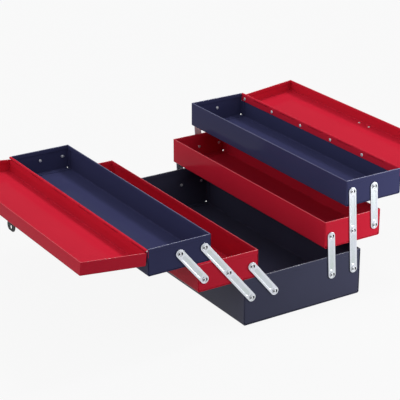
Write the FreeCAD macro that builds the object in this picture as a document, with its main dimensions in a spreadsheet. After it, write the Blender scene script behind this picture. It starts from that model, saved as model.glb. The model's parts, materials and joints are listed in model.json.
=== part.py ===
"""Cantilever tool box in folded sheet steel: a base, two middle trays, two top trays and two lids.

The box stands on its base, which is centred on the origin. X runs across the box, Y along it and Z up.
It is shown as in use: the left side (-X) is swung out to its stop, the links of the right side (+X) stand up,
and both lids lie open. A side's own frame points X outwards: the left side is the right one turned about Z.
"""
import FreeCAD, Part
import math
import os
import re
import Sketcher
from FreeCAD import Vector

SIZES = {
    # Base and trays, folded from sheet
    "box_length": 430,
    "base_height": 74,
    "base_sheet": 1.0,
    "base_margin": 2,
    "tray_width": 103,
    "tray_sheet": 0.8,
    "middle_height": 42.5,
    "top_height": 41,
    "centre_gap": 1.0,
    "hem_height": 7,
    "bend_radius": 2,
    "flange_depth": 9,
    "relief_size": 4.2,
    # Links and their pivots
    "link_rise": 49.3,
    "pivot_inset": 11,
    "base_pivot_depth": 30,
    "seat_gap": 0.4,
    "stack_gap": 2.7,
    "right_lean": -3.5,
    "link_width": 13,
    "link_thickness": 1.6,
    "channel_width": 6,
    "channel_depth": 0.45,
    "channel_margin": 8.5,
    # Rivets that the links turn on
    "side_gap": 0.15,
    "pivot_radius": 2.5,
    "pivot_clearance": 0.06,
    "hole_clearance": 0.05,
    "head_radius": 4.5,
    "head_height": 1.9,
    "inner_end_height": 1.4,
    # Lid hinge with interleaved knuckles
    "knuckle_radius": 2.1,
    "leaf_sheet": 0.8,
    "leaf_height": 11,
    "knuckle_count": 5,
    "knuckle_gap": 0.4,
    "hinge_gap": 0.4,
    "pin_clearance": 0.05,
    "lid_raise": 6,
    # Lid
    "lid_depth": 20.2,
    "lid_sheet": 0.8,
    "lid_gap": 0.3,
    "lid_setback": 1.4,
    "lid_edge_radius": 2.2,
    "lid_hem_height": 5,
    # Padlock ear on the lid's top, just in from its free wall
    "ear_width": 34,
    "ear_sheet": 0.9,
    "ear_bend": 0.8,
    "ear_setback": 3,
    "ear_foot_depth": 10,
    "ear_foot_radius": 4,
    "ear_tab_width": 25,
    "ear_rise": 12,
    "ear_corner_radius": 8,
    "padlock_hole_radius": 3.2,
    "padlock_hole_rise": 6.2,
    # Folding handle on the lid
    "handle_inset": 23,
    "handle_rise": 7,
    "handle_arm": 58,
    "handle_width": 160,
    "handle_bend": 10,
    "strap_sheet": 2.5,
    "strap_width": 10,
    "strap_tail": 4,
    "grip_length": 110,
    "grip_depth": 13,
    "grip_height": 16,
    "grip_round": 5.5,
    "grip_clearance": 0.05,
    "grip_seat_gap": 0.2,
    "bracket_sheet": 1.5,
    "bracket_width": 14,
    "bracket_foot": 11,
    "bracket_head": 5.5,
    "bracket_bend": 1.5,
    "bracket_gap": 0.15,
    "handle_pin_radius": 2,
    "handle_pin_reach": 1.2,
    # One overrun serves every cut
    "overrun": 1,
    # A link's round end is just under half its width; a knuckle's neck starts inside its ring
    "round_end_share": 0.4995,
    "neck_share": 0.5,
}

WORKED = {
    # The base stands out a little past the trays folded over it
    "base_width": "2 * (centre_gap + tray_width + base_margin)",
    # Where a side rests and how far its links swing
    "tray_centre": "centre_gap + tray_width / 2",
    "pivot_spacing": "tray_width / 2 - pivot_inset",
    "link_pitch": "sqrt(pivot_spacing ^ 2 + link_rise ^ 2)",
    "stop_angle": "atan(pivot_spacing / link_rise)",
    "middle_pivot_height": "link_rise - base_pivot_depth - seat_gap",
    "top_pivot_height": "link_rise - middle_height + middle_pivot_height - stack_gap",
    "outer_pivot": "tray_centre + pivot_spacing",
    "base_pivot_z": "base_height - base_pivot_depth",
    # Planes along the box, from its end walls outwards
    "end_face": "box_length / 2",
    "link_back": "end_face + side_gap",
    "link_front": "link_back + link_thickness",
    "head_seat": "link_front + side_gap",
    # Hinge, measured from its pin
    "bore_radius": "knuckle_radius - leaf_sheet",
    "axis_out": "bore_radius - tray_sheet",
    "rim_rise": "knuckle_radius + hinge_gap",
    "axis_depth": "rim_rise - lid_gap",
    "knuckle_pitch": "box_length / knuckle_count",
    # Lid, measured from the hinge pin with the lid shut
    "lid_width": "tray_width + centre_gap - lid_setback",
    "lid_free": "axis_out + lid_width",
    "lid_top": "rim_rise + lid_depth",
    "ear_face": "lid_free - ear_setback",
    # Handle, measured from its own pivot
    "handle_x": "handle_inset - lid_free",
    "handle_z": "lid_top + handle_rise",
    "handle_fold": "asin((grip_height / 2 - handle_rise + grip_seat_gap) / (handle_arm - strap_sheet / 2))",
    "strap_side": "handle_width / 2",
    "bracket_face": "strap_side + bracket_gap",
}

doc = FreeCAD.newDocument("cantilever_tool_box")
sheet = doc.addObject("Spreadsheet::Sheet", "Sizes")
for row, (alias, size) in enumerate(SIZES.items(), 1):
    sheet.set(f"A{row}", alias.replace("_", " "))
    sheet.set(f"B{row}", str(size))
    sheet.setAlias(f"B{row}", alias)
doc.recompute()

nodes = []


def full(text):
    """The expression with worked values written out and sizes read from the sheet."""
    def name(match):
        word = match.group()
        if word in WORKED:
            return f"({full(WORKED[word])})"
        return f"Sizes.{word}" if word in SIZES else word
    return re.sub(r"[a-z_]+", name, text)


def number(text):
    """What an expression comes to, in millimetres or degrees."""
    result = sheet.evalExpression(full(text))
    return float(getattr(result, "Value", result))


def bind(thing, prop, text):
    thing.setExpression(prop, full(text))


def chain(*steps):
    """Placements one after the other; each step is x, y, z, turn about Z and tilt about Y."""
    step = "placement(vector({}; {}; {}); rotation({}; {}; 0))"
    return " * ".join(step.format(*values) for values in steps)


def new_body(label, place):
    body = doc.addObject("PartDesign::Body", label)
    body.Label = label
    body.AllowCompound = True
    bind(body, "Placement", place)
    nodes.append(body)
    return body


# Sketches


def sketch_on(body, plane, out="0", along="0"):
    """A sketch on one of the body's planes, moved out along the plane's normal and along the sketch's X."""
    sketch = body.newObject("Sketcher::SketchObject", body.Label + "_sketch")
    support = next(item for item in body.Origin.OriginFeatures if item.Role == plane)
    sketch.AttachmentSupport = [(support, "")]
    sketch.MapMode = "FlatFace"
    bind(sketch, "AttachmentOffset.Base.z", out)
    bind(sketch, "AttachmentOffset.Base.x", along)
    return sketch


def fix(sketch, kind, curve, point, text):
    """Holds one coordinate of a point at an expression's value."""
    size = number(text)
    if abs(size) < 1e-9:
        axis = -1 if kind == "DistanceY" else -2
        sketch.addConstraint(Sketcher.Constraint("PointOnObject", curve, point, axis))
        return
    index = sketch.addConstraint(Sketcher.Constraint(kind, -1, 1, curve, point, size))
    sketch.setExpression(f"Constraints[{index}]", full(text))


def fix_radius(sketch, curve, text):
    index = sketch.addConstraint(Sketcher.Constraint("Radius", curve, number(text)))
    sketch.setExpression(f"Constraints[{index}]", full(text))


def circle(sketch, x, y, radius):
    centre = Vector(number(x), number(y), 0)
    curve = sketch.addGeometry(Part.Circle(centre, Vector(0, 0, 1), number(radius)))
    fix(sketch, "DistanceX", curve, 3, x)
    fix(sketch, "DistanceY", curve, 3, y)
    fix_radius(sketch, curve, radius)


def outline(sketch, corners, closed=True):
    """Straight runs along the sketch's axes; a corner with a third value is rounded to that radius."""
    spots = [Vector(number(corner[0]), number(corner[1]), 0) for corner in corners]
    radii = [corner[2] if len(corner) > 2 else None for corner in corners]
    count = len(corners)
    runs = count if closed else count - 1
    ways = [(spots[(i + 1) % count] - spots[i]).normalize() for i in range(runs)]
    lines = []
    for i, way in enumerate(ways):
        start_cut = number(radii[i]) if radii[i] else 0
        end_cut = number(radii[(i + 1) % count]) if radii[(i + 1) % count] else 0
        start = spots[i] + way * start_cut
        end = spots[(i + 1) % count] - way * end_cut
        line = sketch.addGeometry(Part.LineSegment(start, end))
        level = abs(way.x) > abs(way.y)
        sketch.addConstraint(Sketcher.Constraint("Horizontal" if level else "Vertical", line))
        fix(sketch, "DistanceY" if level else "DistanceX", line, 1, corners[i][1 if level else 0])
        lines.append(line)
    for i in range(count):
        if not closed and i in (0, count - 1):
            first = i == 0
            level = abs(ways[i if first else i - 1].x) > 0.5
            line, point = (lines[0], 1) if first else (lines[-1], 2)
            fix(sketch, "DistanceX" if level else "DistanceY", line, point, corners[i][0 if level else 1])
            continue
        before, after = lines[i - 1], lines[i]
        if not radii[i]:
            sketch.addConstraint(Sketcher.Constraint("Coincident", before, 2, after, 1))
            continue
        radius = number(radii[i])
        way_in, way_out = ways[i - 1], ways[i]
        centre = spots[i] - way_in * radius + way_out * radius
        left_turn = way_in.cross(way_out).z > 0
        begin = spots[i] + (way_in * -radius if left_turn else way_out * radius) - centre
        angle = math.atan2(begin.y, begin.x)
        ring = Part.Circle(centre, Vector(0, 0, 1), radius)
        arc = sketch.addGeometry(Part.ArcOfCircle(ring, angle, angle + math.pi / 2))
        near, far = (1, 2) if left_turn else (2, 1)
        sketch.addConstraint(Sketcher.Constraint("Tangent", before, 2, arc, near))
        sketch.addConstraint(Sketcher.Constraint("Tangent", arc, far, after, 1))
        fix_radius(sketch, arc, radii[i])


# Features


def pad(body, sketch, length, both_ways=False, back=False):
    feature = body.newObject("PartDesign::Pad", body.Label + "_pad")
    feature.Profile = sketch
    bind(feature, "Length", length)
    feature.SideType = "Symmetric" if both_ways else "One side"
    feature.Reversed = back
    return feature


def pocket(body, sketch, length, back=False):
    feature = body.newObject("PartDesign::Pocket", body.Label + "_pocket")
    feature.Profile = sketch
    bind(feature, "Length", length)
    feature.Reversed = back
    return feature


def revolve(body, sketch, axis):
    feature = body.newObject("PartDesign::Revolution", body.Label + "_turned")
    feature.Profile = sketch
    feature.ReferenceAxis = (sketch, [axis])
    feature.Angle = 360
    return feature


def repeat(body, features, axis, spacing, count):
    """Copies of some features, spaced along one of the body's axes."""
    feature = body.newObject("PartDesign::LinearPattern", body.Label + "_row")
    feature.Originals = features
    direction = next(item for item in body.Origin.OriginFeatures if item.Role == axis)
    feature.Direction = (direction, [""])
    feature.Mode = "Spacing"
    bind(feature, "Offset", spacing)
    bind(feature, "Occurrences", count)
    body.Tip = feature
    return feature


def mirror_ends(body):
    """The whole body so far, and its mirror image at the other end of the box."""
    feature = body.newObject("PartDesign::Mirrored", body.Label + "_both_ends")
    plane = next(item for item in body.Origin.OriginFeatures if item.Role == "XZ_Plane")
    feature.MirrorPlane = (plane, [""])
    feature.TransformMode = "Whole shape"
    body.Tip = feature
    return feature


# Base and trays


def trough(label, place, width, height, thickness, hinge_wall=False):
    """Floor and two long walls in one folded sheet, each rim hemmed inwards.

    The top tray's outer wall has no hem: it stops under the hinge's knuckles.
    """
    body = new_body(label, place)
    section = sketch_on(body, "XZ_Plane")
    outside = f"({width} / 2)"
    inside = f"({width} / 2 - {thickness})"
    hem_face = f"({width} / 2 - 2 * {thickness})"
    hem_foot = f"{height} - hem_height"
    outer_bend = f"bend_radius + {thickness}"
    corners = [(f"-{outside}", "0", outer_bend), (outside, "0", outer_bend)]
    if hinge_wall:
        rim = "top_height - axis_depth - rim_rise"
        corners += [(outside, rim), (inside, rim)]
    else:
        corners += [(outside, height), (hem_face, height), (hem_face, hem_foot), (inside, hem_foot)]
    corners += [(inside, thickness, "bend_radius"), (f"-{inside}", thickness, "bend_radius")]
    corners += [(f"-{inside}", hem_foot), (f"-{hem_face}", hem_foot)]
    corners += [(f"-{hem_face}", height), (f"-{outside}", height)]
    outline(section, corners)
    pad(body, section, "box_length", both_ways=True)


def tray_ends(label, place, width, height, thickness, pivots, pivot_z, hinged=False):
    """Two end walls, each hemmed along its top, with flanges turned in against the floor and the long walls.

    The bottom corners are relieved where three folds meet.
    """
    body = new_body(label, place)
    floor_and_hem = sketch_on(body, "YZ_Plane")
    inner_face = f"end_face - {thickness}"
    hem_face = f"end_face - 2 * {thickness}"
    hem_foot = f"({height} - hem_height)"
    outer_bend = f"bend_radius + {thickness}"
    outline(floor_and_hem, [
        ("end_face", thickness, outer_bend), ("end_face", height), (hem_face, height),
        (hem_face, hem_foot), (inner_face, hem_foot), (inner_face, f"2 * {thickness}", "bend_radius"),
        ("end_face - flange_depth", f"2 * {thickness}"), ("end_face - flange_depth", thickness)])
    pad(body, floor_and_hem, f"{width} - 4 * {thickness}", both_ways=True)
    sides = sketch_on(body, "XY_Plane", out=thickness)
    edge = f"({width} / 2 - {thickness})"
    flange_face = f"({width} / 2 - 2 * {thickness})"
    outline(sides, [
        (f"-{edge}", "end_face - flange_depth"), (f"-{flange_face}", "end_face - flange_depth"),
        (f"-{flange_face}", inner_face, "bend_radius"), (flange_face, inner_face, "bend_radius"),
        (flange_face, "end_face - flange_depth"), (edge, "end_face - flange_depth"),
        (edge, "end_face", outer_bend), (f"-{edge}", "end_face", outer_bend)])
    pad(body, sides, f"{hem_foot} - {thickness}")
    holes = sketch_on(body, "XZ_Plane", out="-(end_face + overrun)")
    for x in pivots:
        circle(holes, x, pivot_z, "pivot_radius + hole_clearance")
    for side in ("", "-"):
        near, far = f"{side}({edge} - relief_size)", f"{side}({edge} + overrun)"
        low, high = f"{thickness} - overrun", f"{thickness} + relief_size"
        outline(holes, [(near, low), (far, low), (far, high), (near, high)])
    if hinged:
        # The outer flange stops under the hinge's leaf
        leaf_foot = "(top_height - axis_depth - leaf_height - hinge_gap)"
        notch_top = f"{hem_foot} + overrun"
        outline(holes, [(flange_face, leaf_foot), (f"{edge} + overrun", leaf_foot),
                        (f"{edge} + overrun", notch_top), (flange_face, notch_top)])
    pocket(body, holes, "flange_depth + 2 * overrun", back=True)
    mirror_ends(body)


def link_rivets(label, place, first, count, thickness):
    """Rivets in a row, the same at both ends, headed over the links and clenched inside the end walls."""
    body = new_body(label, place)
    profile = sketch_on(body, "XY_Plane", along=first)
    outline(profile, [
        ("0", f"end_face - {thickness} - inner_end_height"),
        ("pivot_radius", f"end_face - {thickness} - inner_end_height"), ("pivot_radius", "head_seat"),
        ("head_radius", "head_seat"), ("head_radius", "head_seat + head_height"),
        ("0", "head_seat + head_height")])
    rivet = revolve(body, profile, "V_Axis")
    repeat(body, [rivet], "X_Axis", "pivot_spacing", count)
    mirror_ends(body)


def links(label, place, pivots):
    """Two strips with round ends, one at each end of the box, pressed to a channel between their pivots."""
    body = new_body(label, place)
    strip = sketch_on(body, "XZ_Plane", out="-link_back")
    half = "(link_width / 2)"
    round_end = "round_end_share * link_width"
    top = f"({pivots[-1]} + link_width / 2)"
    outline(strip, [(f"-{half}", f"-{half}", round_end), (half, f"-{half}", round_end),
                    (half, top, round_end), (f"-{half}", top, round_end)])
    for z in pivots:
        circle(strip, "0", z, "pivot_radius + pivot_clearance")
    pad(body, strip, "link_thickness", back=True)
    channels = sketch_on(body, "XZ_Plane", out="-(link_front + overrun)")
    side = "(channel_width / 2)"
    for low, high in zip(pivots, pivots[1:]):
        foot, head = f"{low} + channel_margin", f"{high} - channel_margin"
        outline(channels, [(f"-{side}", foot), (side, foot), (side, head), (f"-{side}", head)])
    pocket(body, channels, "channel_depth + overrun", back=True)
    mirror_ends(body)


# Lid and hinge


def hinge_leaf(label, place, up, length, first_knuckle, count):
    """A leaf with every second knuckle, drawn about the pin; up is -1 for the tray's and 1 for the lid's."""
    body = new_body(label, place)
    strip = sketch_on(body, "XZ_Plane")
    faces = ("-knuckle_radius", "-bore_radius")
    edge, root, neck = f"{up} * leaf_height", f"{up} * rim_rise", f"{up} * neck_share * bore_radius"
    outline(strip, [(faces[0], edge), (faces[1], edge), (faces[1], root), (faces[0], root)])
    pad(body, strip, length, both_ways=True)
    start = f"end_face - {first_knuckle} * knuckle_pitch - knuckle_gap / 2"
    necks = sketch_on(body, "XZ_Plane", out=start)
    outline(necks, [(faces[0], root), (faces[1], root), (faces[1], neck), (faces[0], neck)])
    neck_pad = pad(body, necks, "knuckle_pitch - knuckle_gap", back=True)
    rings = sketch_on(body, "XZ_Plane", out=start)
    circle(rings, "0", "0", "knuckle_radius")
    circle(rings, "0", "0", "bore_radius")
    ring_pad = pad(body, rings, "knuckle_pitch - knuckle_gap", back=True)
    repeat(body, [neck_pad, ring_pad], "Y_Axis", "2 * knuckle_pitch", count)


def hinge_pin(label, place):
    pin = doc.addObject("Part::Cylinder", label)
    pin.Label = label
    bind(pin, "Radius", "bore_radius - pin_clearance")
    bind(pin, "Height", "box_length - knuckle_gap")
    lie_down = "placement(vector(0; -(box_length - knuckle_gap) / 2; 0); rotation(0; 0; -90))"
    bind(pin, "Placement", f"{place} * {lie_down}")
    nodes.append(pin)


def lid_pan(label, place):
    """A shallow pan, drawn shut over the tray with its rim down, and hemmed on its three free sides."""
    body = new_body(label, place)
    block = sketch_on(body, "XY_Plane", out="rim_rise")
    outline(block, [("-lid_free", "-end_face"), ("-axis_out", "-end_face"),
                    ("-axis_out", "end_face"), ("-lid_free", "end_face")])
    solid = pad(body, block, "lid_depth")
    doc.recompute()
    rim, top = number("rim_rise"), number("lid_top")
    edges = [f"Edge{i}" for i, edge in enumerate(solid.Shape.Edges, 1) if edge.BoundBox.ZMin > top - rim]
    rounded = body.newObject("PartDesign::Fillet", label + "_bends")
    rounded.Base = (solid, edges)
    bind(rounded, "Radius", "lid_edge_radius")
    doc.recompute()
    face = next(f"Face{i}" for i, face in enumerate(rounded.Shape.Faces, 1)
                if face.BoundBox.ZMax < (rim + top) / 2)
    shell = body.newObject("PartDesign::Thickness", label + "_shell")
    shell.Base = (rounded, [face])
    bind(shell, "Value", "lid_sheet")
    shell.Reversed = True
    hem = sketch_on(body, "XY_Plane", out="rim_rise")
    wall = ("-lid_free + lid_sheet", "end_face - lid_sheet")
    fold = ("-lid_free + 2 * lid_sheet", "end_face - 2 * lid_sheet")
    hinge_side = "-axis_out - lid_sheet - leaf_sheet - hinge_gap"
    outline(hem, [(hinge_side, f"-({wall[1]})"), (hinge_side, f"-({fold[1]})"), (fold[0], f"-({fold[1]})"),
                  (fold[0], fold[1]), (hinge_side, fold[1]), (hinge_side, wall[1]),
                  (wall[0], wall[1]), (wall[0], f"-({wall[1]})")])
    pad(body, hem, "lid_hem_height")


def padlock_ear(label, place):
    """An angle of sheet on the lid's top: a wide foot, and a tab standing from it that takes a shackle."""
    body = new_body(label, place)
    inner, toe = "-ear_face + ear_sheet", "-ear_face + ear_foot_depth"
    foot_top, bend_top = "lid_top + ear_sheet", "lid_top + ear_sheet + 2 * ear_bend"
    bend = sketch_on(body, "XZ_Plane")
    outline(bend, [("-ear_face", "lid_top", "ear_bend + ear_sheet"), (toe, "lid_top"), (toe, foot_top),
                   (inner, foot_top, "ear_bend"), (inner, bend_top), ("-ear_face", bend_top)])
    pad(body, bend, "ear_tab_width", both_ways=True)
    foot = sketch_on(body, "XY_Plane", out="lid_top")
    half, tab, root = "(ear_width / 2)", "(ear_tab_width / 2)", f"{inner} + ear_bend"
    outline(foot, [(root, f"-{half}"), (toe, f"-{half}", "ear_foot_radius"), (toe, half, "ear_foot_radius"),
                   (root, half)])
    pad(body, foot, "ear_sheet")
    upright = sketch_on(body, "YZ_Plane", out="-ear_face")
    top = "lid_top + ear_rise"
    outline(upright, [(f"-{tab}", bend_top), (tab, bend_top), (tab, top, "ear_corner_radius"),
                      (f"-{tab}", top, "ear_corner_radius")])
    pad(body, upright, "ear_sheet")
    hole = sketch_on(body, "YZ_Plane", out="-(ear_face + overrun)")
    circle(hole, "0", "lid_top + padlock_hole_rise", "padlock_hole_radius")
    pocket(body, hole, "ear_sheet + 2 * overrun", back=True)


def handle_brackets(label, place):
    """Two bent brackets that stand on the lid outside the handle's arms, drawn about the handle's pivot."""
    body = new_body(label, place)
    section = sketch_on(body, "YZ_Plane")
    back, toe = "(bracket_face + bracket_sheet)", "(bracket_face + bracket_foot)"
    low, high = "-handle_rise", "-handle_rise + bracket_sheet"
    for side in ("", "-"):
        face = f"{side}bracket_face"
        outline(section, [
            (face, low, "bracket_bend + bracket_sheet"), (f"{side}{toe}", low), (f"{side}{toe}", high),
            (f"{side}{back}", high, "bracket_bend"), (f"{side}{back}", "bracket_head"),
            (face, "bracket_head")])
    pad(body, section, "bracket_width", both_ways=True)
    holes = sketch_on(body, "XZ_Plane", out=f"{back} + overrun")
    circle(holes, "0", "0", "handle_pin_radius + pivot_clearance")
    pocket(body, holes, f"2 * ({back} + overrun)")


def handle_bail(label, place):
    """A flat strap bent to a U with a pin outside each arm, drawn lying towards the hinge from its pivot."""
    body = new_body(label, place)
    plan = sketch_on(body, "XY_Plane")
    inner = "(strap_side - strap_sheet)"
    reach = "(handle_arm - strap_sheet)"
    outline(plan, [
        ("-strap_tail", "-strap_side"), ("handle_arm", "-strap_side", "handle_bend"),
        ("handle_arm", "strap_side", "handle_bend"), ("-strap_tail", "strap_side"), ("-strap_tail", inner),
        (reach, inner, "handle_bend - strap_sheet"), (reach, f"-{inner}", "handle_bend - strap_sheet"),
        ("-strap_tail", f"-{inner}")])
    pad(body, plan, "strap_width", both_ways=True)
    for side, back in (("", False), ("-", True)):
        pin = sketch_on(body, "XZ_Plane", out=f"{side}strap_side")
        circle(pin, "0", "0", "handle_pin_radius")
        pad(body, pin, "bracket_gap + bracket_sheet + handle_pin_reach", back=back)


def handle_grip(label, place):
    """A moulded sleeve on the strap's long run."""
    body = new_body(label, place)
    section = sketch_on(body, "XZ_Plane", along="handle_arm - strap_sheet / 2")
    deep, high = "(grip_depth / 2)", "(grip_height / 2)"
    outline(section, [(f"-{deep}", f"-{high}", "grip_round"), (deep, f"-{high}", "grip_round"),
                      (deep, high, "grip_round"), (f"-{deep}", high, "grip_round")])
    slot, tall = "(strap_sheet / 2 + grip_clearance)", "(strap_width / 2 + grip_clearance)"
    outline(section, [(f"-{slot}", f"-{tall}"), (slot, f"-{tall}"), (slot, tall), (f"-{slot}", tall)])
    pad(body, section, "grip_length", both_ways=True)


def box_side(name, out, lean):
    """One side's trays, links, hinge, lid and handle. out is 1 to the right, -1 to the left."""
    turn = "0" if out > 0 else "180"
    sine, cosine = f"link_pitch * sin({lean})", f"link_pitch * cos({lean})"
    middle_x, middle_z = f"(outer_pivot + {sine})", f"(base_pivot_z + {cosine})"
    top_x, top_z = f"(outer_pivot + 2 * {sine})", f"(base_pivot_z + 2 * {cosine})"

    def at(x, z, tilt="0"):
        return f"{out} * {x}", "0", z, turn, tilt

    middle = at(middle_x, f"{middle_z} - middle_pivot_height")
    top = at(f"({top_x} + pivot_spacing)", f"{top_z} - top_pivot_height")
    row = ["0", "-pivot_spacing", "pivot_spacing"]
    middle_size = ("tray_width", "middle_height", "tray_sheet")
    top_size = ("tray_width", "top_height", "tray_sheet")
    trough(f"middle_tray_trough_{name}", chain(middle), *middle_size)
    tray_ends(f"middle_tray_ends_{name}", chain(middle), *middle_size, row, "middle_pivot_height")
    trough(f"top_tray_trough_{name}", chain(top), *top_size, hinge_wall=True)
    tray_ends(f"top_tray_ends_{name}", chain(top), *top_size, row[:2], "top_pivot_height", hinged=True)
    links(f"lower_links_{name}", chain(at("tray_centre", "base_pivot_z", lean)), ["0", "link_pitch"])
    links(f"long_links_{name}", chain(at("outer_pivot", "base_pivot_z", lean)),
          ["0", "link_pitch", "2 * link_pitch"])
    inner_pivot = f"({middle_x} + pivot_spacing)"
    links(f"upper_links_{name}", chain(at(inner_pivot, middle_z, lean)), ["0", "link_pitch"])
    middle_row, top_row = at(middle_x, middle_z), at(top_x, top_z)
    link_rivets(f"base_rivets_{name}", chain(at("0", "base_pivot_z")), "tray_centre", "2", "base_sheet")
    link_rivets(f"middle_tray_rivets_{name}", chain(middle_row), "-pivot_spacing", "3", "tray_sheet")
    link_rivets(f"top_tray_rivets_{name}", chain(top_row), "0", "2", "tray_sheet")
    hinge = (f"({top_x} + pivot_spacing + tray_width / 2 + axis_out)",
             f"{top_z} - top_pivot_height + top_height - axis_depth")
    tray_hinge, lid_hinge = at(*hinge), at(*hinge, "180 - lid_raise")
    lid_leaf_length = "box_length - 2 * (lid_edge_radius + hinge_gap)"
    leaf_knuckles = "(knuckle_count + 1) / 2", "(knuckle_count - 1) / 2"
    hinge_leaf(f"hinge_leaf_tray_{name}", chain(tray_hinge), -1, "box_length", 0, leaf_knuckles[0])
    hinge_leaf(f"hinge_leaf_lid_{name}", chain(lid_hinge), 1, lid_leaf_length, 1, leaf_knuckles[1])
    hinge_pin(f"hinge_pin_{name}", chain(tray_hinge))
    lid_pan(f"lid_pan_{name}", chain(lid_hinge))
    padlock_ear(f"padlock_ear_{name}", chain(lid_hinge))
    pivot = ("handle_x", "0", "handle_z", "0")
    handle_brackets(f"handle_brackets_{name}", chain(lid_hinge, (*pivot, "0")))
    handle_bail(f"handle_bail_{name}", chain(lid_hinge, (*pivot, "-handle_fold")))
    handle_grip(f"handle_grip_{name}", chain(lid_hinge, (*pivot, "-handle_fold")))


at_origin = ("0", "0", "0", "0", "0")
base_size = ("base_width", "base_height", "base_sheet")
base_pivots = [f"{sign} * {x}" for sign in (-1, 1) for x in ("tray_centre", "outer_pivot")]
trough("base_trough", chain(at_origin), *base_size)
tray_ends("base_ends", chain(at_origin), *base_size, base_pivots, "base_pivot_z")
box_side("left", -1, "stop_angle")
box_side("right", 1, "right_lean")

# Every object must be sound before any file is written
doc.recompute()
for item in doc.Objects:
    if "Invalid" in item.State or "Error" in item.State:
        raise RuntimeError(f"{item.Label} did not build: {item.State}")
    if item.TypeId == "PartDesign::Pocket" and item.Shape.Volume >= item.BaseFeature.Shape.Volume:
        raise RuntimeError(f"{item.Label} cuts nothing")
for node in nodes:
    if node.Shape.isNull() or not node.Shape.isValid():
        raise RuntimeError(f"{node.Label} has no sound shape")

os.makedirs("parts", exist_ok=True)
for node in nodes:
    node.Shape.exportStep(f"parts/{node.Label}.step")
    print(f"{node.Label}: {len(node.Shape.Solids)} solids, {node.Shape.Volume / 1000:.2f} cm3")
print(f"{len(nodes)} nodes")
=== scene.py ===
import json
import math

import bmesh
import bpy
from mathutils import Matrix, Vector


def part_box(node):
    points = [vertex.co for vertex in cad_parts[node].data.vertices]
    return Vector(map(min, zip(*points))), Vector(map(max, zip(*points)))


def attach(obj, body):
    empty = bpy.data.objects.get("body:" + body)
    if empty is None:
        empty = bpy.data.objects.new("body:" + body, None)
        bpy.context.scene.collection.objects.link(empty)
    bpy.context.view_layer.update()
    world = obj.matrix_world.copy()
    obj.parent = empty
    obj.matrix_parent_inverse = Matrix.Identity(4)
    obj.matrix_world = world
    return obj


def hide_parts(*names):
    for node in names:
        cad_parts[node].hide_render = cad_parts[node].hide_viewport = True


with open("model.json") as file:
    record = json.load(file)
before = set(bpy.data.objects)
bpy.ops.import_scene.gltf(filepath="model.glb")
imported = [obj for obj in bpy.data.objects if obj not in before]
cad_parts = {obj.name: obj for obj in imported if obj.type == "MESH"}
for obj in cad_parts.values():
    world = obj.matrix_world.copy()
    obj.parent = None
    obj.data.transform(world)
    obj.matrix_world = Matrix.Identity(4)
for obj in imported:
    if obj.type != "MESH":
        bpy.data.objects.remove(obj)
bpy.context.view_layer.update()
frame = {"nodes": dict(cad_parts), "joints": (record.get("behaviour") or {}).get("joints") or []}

# Lengths are in millimetres here, and become metres when a mesh is made; angles are in degrees
MM = 0.001

# Sheet steel as it is folded
BASE_SHEET, TRAY_SHEET, LID_SHEET = 1.0, 0.8, 0.8
HEM_HEIGHT, LID_HEM_HEIGHT = 7.0, 5.0
# A hem's two layers lie this many thicknesses apart, middle to middle
HEM_PITCH_SHARE = 1.1
BEND_RADIUS, LID_EDGE_RADIUS, END_BEND_RADIUS = 2.0, 2.2, 1.0
FLANGE_DEPTH, RELIEF_SIZE = 9.0, 2.6
EDGE_BEVEL, EDGE_CREASE = 0.22, 32
# Painted highlight: this much of a rim's height is coloured paler, standing in for a highlight line along it
RIM_HIGHLIGHT_DEPTH = 0.9

# Hinge, drawn about its pin
KNUCKLE_RADIUS, LEAF_SHEET, LEAF_HEIGHT = 2.1, 0.8, 11.0
HINGE_GAP, LID_GAP, LEAF_EDGE = 0.4, 0.3, 1.8
KNUCKLES, KNUCKLE_GAP, KNUCKLE_TURN = 11, 0.2, 290
# Laid back, the lid stays this far above level
LID_RAISE = 6.0
LEAF_RIVETS, LEAF_RIVET_INSET, LEAF_RIVET_DEPTH = 6, 11.2, 6.0
# A plain rivet head is a radius and a height, here and below
LEAF_RIVET_HEAD = (2.7, 1.1)

# Lid, ear and handle
CENTRE_GAP, LID_DEPTH, LID_SETBACK, LID_FLAT_START = 1.0, 20.2, 1.4, 1.0
EAR_WIDTH, EAR_SHEET, EAR_BEND, EAR_SETBACK = 34.0, 0.9, 0.8, 3.0
EAR_FOOT_DEPTH, EAR_FOOT_CORNER, EAR_SMALL_CORNER = 10.0, 4.0, 1.0
EAR_TAB_WIDTH, EAR_RISE, EAR_CORNER = 25.0, 12.0, 8.0
PADLOCK_HOLE, PADLOCK_RISE = 3.2, 6.2
# Points round the eyelet's rim, each a reach past the hole's edge and a height
EYELET_RIM = [(-0.3, -0.1), (1.6, 0), (1.2, 0.3), (0.3, 0.4), (-0.3, 0.2), (-0.3, -0.1)]
EAR_RIVET_SPREAD, EAR_RIVET_INSET = 26.0, 6.0
EAR_RIVET_HEAD, EAR_RIVET_TAIL = (2.0, 0.9), (1.6, 0.8)
HANDLE_INSET, HANDLE_RISE, HANDLE_ARM, HANDLE_WIDTH = 23.0, 7.0, 58.0, 160.0
HANDLE_BEND, STRAP_SHEET, STRAP_WIDTH, STRAP_TAIL = 10.0, 2.5, 10.0, 4.0
GRIP_LENGTH, GRIP_DEPTH, GRIP_HEIGHT, GRIP_ROUND, GRIP_SEAT_GAP = 110.0, 13.0, 16.0, 5.5, 0.2
# The grooves between ridges are this share of the grip's size, and stop short of its ends
GRIP_RIDGES, RIDGE_STEPS, RIDGE_SHARE, GRIP_PLAIN_END = 22, 6, 0.05, 6.0
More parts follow.
